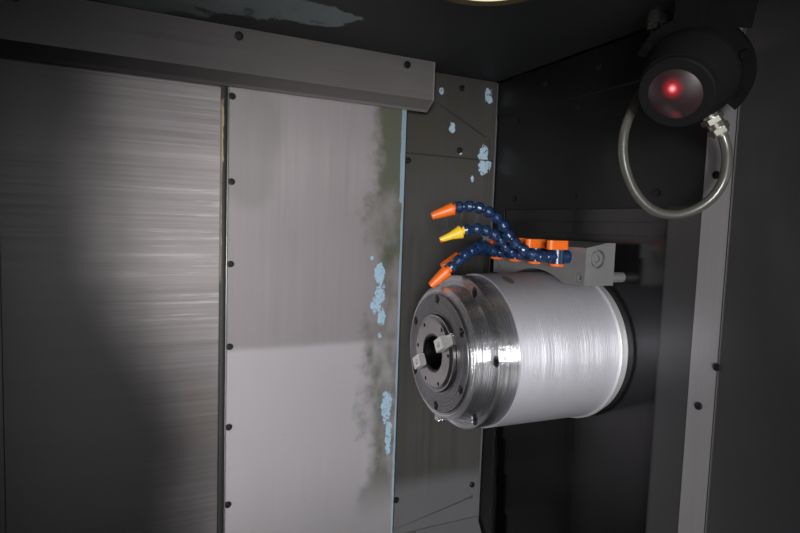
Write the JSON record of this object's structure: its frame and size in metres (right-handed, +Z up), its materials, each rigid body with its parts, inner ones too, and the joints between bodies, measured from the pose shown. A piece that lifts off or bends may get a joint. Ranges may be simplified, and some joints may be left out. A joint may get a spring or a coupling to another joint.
{
  "type": "horizontal machining center",
  "caption": "Horizontal milling machine with a moving column, coolant nozzles round its spindle, a turning pallet table, telescopic covers and a side tool magazine",
  "frame": {"origin": "middle of the footprint, on the floor", "axes": "+Z up, +X from the front of the machine to its back along the spindle, with the spindle nose facing -X, +Y towards the tool magazine, operator door on the -Y side"},
  "size_m": [2.7, 2.1, 2.5],
  "materials": {
    "painted_cast": "grey-green paint over cast iron",
    "machine_paint": "light grey textured paint",
    "accent_paint": "blue-grey paint",
    "ceiling_paint": "dark grey paint",
    "wall_sheet": "rolled stainless sheet, scratched and stained by coolant",
    "liner_sheet": "worn light blue paint flaking off sheet steel",
    "cover_sheet": "stainless cover sheet with wiped coolant marks",
    "machined_steel": "ground steel",
    "polished_steel": "turned and polished steel",
    "blasted_steel": "pale bead-blasted metal",
    "dark_steel": "dark ground steel",
    "black_steel": "black oxide screws",
    "dark_paint": "dark grey paint",
    "block_metal": "matte machined aluminium",
    "hose_blue": "blue acetal",
    "nozzle_orange": "orange acetal, one nozzle yellow",
    "handle_orange": "orange acetal",
    "bellows_cloth": "coated cloth over stiffeners",
    "receiver_black": "black housing",
    "receiver_glass": "dark red domed window",
    "nickel": "nickel-plated brass",
    "conduit": "ribbed grey flexible conduit",
    "lamp": "white lamp with a frosted cover",
    "window_glass": "laminated safety glass",
    "panel_paint": "blue-grey paint with a dark screen and keys",
    "stop_red": "red button"
  },
  "bodies": {
    "base": {"bed": "painted_cast", "levelling_feet": "machined_steel", "chip_pan": "wall_sheet", "base_ways": "machined_steel", "far_wall": "wall_sheet", "far_wall_liner": "liner_sheet", "shutter_guide": "wall_sheet", "chamber_ceiling": "ceiling_paint", "enclosure_front": "machine_paint", "column_housing": "machine_paint", "magazine_housing": "machine_paint", "magazine_stand": "painted_cast", "atc_drive_box": "painted_cast", "electrical_cabinet": "machine_paint", "chip_conveyor": "accent_paint", "work_light": "lamp", "receiver_yoke": "wall_sheet", "receiver_housing": "receiver_black", "receiver_window": "receiver_glass", "receiver_gland": "nickel", "receiver_conduit": "conduit"},
    "column": {"column": "painted_cast", "cover_frame": "cover_sheet", "head_ways": "machined_steel", "near_bellows": "bellows_cloth", "far_bellows": "bellows_cloth"},
    "head": {"spindle_head": "painted_cast", "head_plate": "cover_sheet", "spindle_sleeve": "blasted_steel", "spindle_flange": "polished_steel", "front_cap": "dark_steel", "spindle_screws": "black_steel", "spindle_bearings": "machined_steel", "coolant_block": "block_metal", "hose_segments": "hose_blue", "nozzles": "nozzle_orange"},
    "spindle": {"spindle_shaft": "machined_steel", "drive_keys": "machined_steel"},
    "table": {"table_saddle": "painted_cast"},
    "pallet": {"pallet": "machined_steel"},
    "operator_door": {"door": "accent_paint", "door_window": "window_glass"},
    "front_leaf": {"front_leaf": "wall_sheet"},
    "rear_leaf": {"rear_leaf": "wall_sheet"},
    "change_arm": {"change_arm": "machined_steel"},
    "magazine_wheel": {"magazine_wheel": "dark_paint"},
    "change_pot": {"change_pot": "dark_paint"},
    "operator_panel": {"operator_panel": "panel_paint"},
    "stop_button": {"stop_button": "stop_red"},
    "cabinet_door": {"cabinet_door": "machine_paint"},
    "upper_cover_1": {"upper_cover_1": "cover_sheet"},
    "upper_cover_2": {"upper_cover_2": "cover_sheet"},
    "upper_cover_3": {"upper_cover_3": "cover_sheet"},
    "lower_cover_1": {"lower_cover_1": "cover_sheet"},
    "lower_cover_2": {"lower_cover_2": "cover_sheet"},
    "lower_cover_3": {"lower_cover_3": "cover_sheet"},
    "valve_handle_1": {"valve_handle_1": "handle_orange"},
    "valve_handle_2": {"valve_handle_2": "handle_orange"},
    "valve_handle_3": {"valve_handle_3": "handle_orange"},
    "valve_handle_4": {"valve_handle_4": "handle_orange"}
  },
  "joints": [
    {"name": "x_axis", "type": "slide", "parent": "base", "child": "column", "axis": [0, -1, 0], "range_m": [0, 0.52], "deforming": ["near_bellows", "far_bellows"]},
    {"name": "y_axis", "type": "slide", "parent": "column", "child": "head", "axis": [0, 0, 1], "range_m": [-0.44, 0.08]},
    {"name": "z_axis", "type": "slide", "parent": "base", "child": "table", "axis": [1, 0, 0], "range_m": [0, 0.55]},
    {"name": "b_axis", "type": "hinge", "parent": "table", "child": "pallet", "pos_m": [-0.846, -0.288, 1], "axis": [0, 0, 1], "continuous": true},
    {"name": "spindle_turn", "type": "hinge", "parent": "head", "child": "spindle", "pos_m": [-0.146, -0.028, 1.61], "axis": [1, 0, 0], "continuous": true},
    {"name": "operator_door_slide", "type": "slide", "parent": "base", "child": "operator_door", "axis": [-1, 0, 0], "range_m": [0, 0.89]},
    {"name": "change_arm_swing", "type": "hinge", "parent": "base", "child": "change_arm", "pos_m": [-0.1995, 0.358, 1.61], "axis": [-1, 0, 0], "range_deg": [0, 90]},
    {"name": "front_leaf_slide", "type": "slide", "parent": "base", "child": "front_leaf", "axis": [-1, 0, 0], "range_m": [0, 0.5341]},
    {"name": "rear_leaf_slide", "type": "slide", "parent": "base", "child": "rear_leaf", "axis": [-1, 0, 0], "range_m": [0, 0.2671]},
    {"name": "magazine_turn", "type": "hinge", "parent": "base", "child": "magazine_wheel", "pos_m": [0.2405, 0.744, 1.61], "axis": [0, 1, 0], "continuous": true},
    {"name": "pot_swing", "type": "hinge", "parent": "magazine_wheel", "child": "change_pot", "pos_m": [-0.0795, 0.728, 1.61], "axis": [0, 0, 1], "range_deg": [0, 90]},
    {"name": "operator_panel_swing", "type": "hinge", "parent": "base", "child": "operator_panel", "pos_m": [0.79, -0.997, 1.4], "axis": [0, 0, -1], "range_deg": [0, 60]},
    {"name": "stop_press", "type": "slide", "parent": "operator_panel", "child": "stop_button", "axis": [0, 1, 0], "range_m": [0, 0.004], "stiffness_N_per_m": 1500},
    {"name": "cabinet_door_hinge", "type": "hinge", "parent": "base", "child": "cabinet_door", "pos_m": [1.335, -0.878, 1.1], "axis": [0, 0, -1], "range_deg": [0, 110]},
    {"name": "coolant_valve_1", "type": "hinge", "parent": "head", "child": "valve_handle_1", "pos_m": [-0.0055, -0.09075, 1.7427], "axis": [0, 0, 1], "range_deg": [0, 90]},
    {"name": "coolant_valve_2", "type": "hinge", "parent": "head", "child": "valve_handle_2", "pos_m": [-0.0055, -0.04625, 1.7427], "axis": [0, 0, 1], "range_deg": [0, 90]},
    {"name": "coolant_valve_3", "type": "hinge", "parent": "head", "child": "valve_handle_3", "pos_m": [-0.0055, -0.00175, 1.7427], "axis": [0, 0, 1], "range_deg": [0, 90]},
    {"name": "coolant_valve_4", "type": "hinge", "parent": "head", "child": "valve_handle_4", "pos_m": [-0.0055, 0.04275, 1.7427], "axis": [0, 0, 1], "range_deg": [0, 90]},
    {"name": "upper_cover_1_slide", "type": "slide", "parent": "column", "child": "upper_cover_1", "axis": [0, 0, 1], "range_m": [-0.111, 0.021]},
    {"name": "upper_cover_2_slide", "type": "slide", "parent": "column", "child": "upper_cover_2", "axis": [0, 0, 1], "range_m": [-0.221, 0.041]},
    {"name": "upper_cover_3_slide", "type": "slide", "parent": "column", "child": "upper_cover_3", "axis": [0, 0, 1], "range_m": [-0.331, 0.061]},
    {"name": "lower_cover_1_slide", "type": "slide", "parent": "column", "child": "lower_cover_1", "axis": [0, 0, 1], "range_m": [-0.3596, 0.0662]},
    {"name": "lower_cover_2_slide", "type": "slide", "parent": "column", "child": "lower_cover_2", "axis": [0, 0, 1], "range_m": [-0.2936, 0.0542]},
    {"name": "lower_cover_3_slide", "type": "slide", "parent": "column", "child": "lower_cover_3", "axis": [0, 0, 1], "range_m": [-0.221, 0.041]}
  ],
  "couplings": [
    {"joint": "front_leaf_slide", "follows": "change_arm_swing", "m_per_rad": 0.33995},
    {"joint": "rear_leaf_slide", "follows": "change_arm_swing", "m_per_rad": 0.16998},
    {"joint": "upper_cover_1_slide", "follows": "y_axis", "ratio": 0.25},
    {"joint": "upper_cover_2_slide", "follows": "y_axis", "ratio": 0.5},
    {"joint": "upper_cover_3_slide", "follows": "y_axis", "ratio": 0.75},
    {"joint": "lower_cover_1_slide", "follows": "y_axis", "ratio": 0.815},
    {"joint": "lower_cover_2_slide", "follows": "y_axis", "ratio": 0.665},
    {"joint": "lower_cover_3_slide", "follows": "y_axis", "ratio": 0.5}
  ]
}
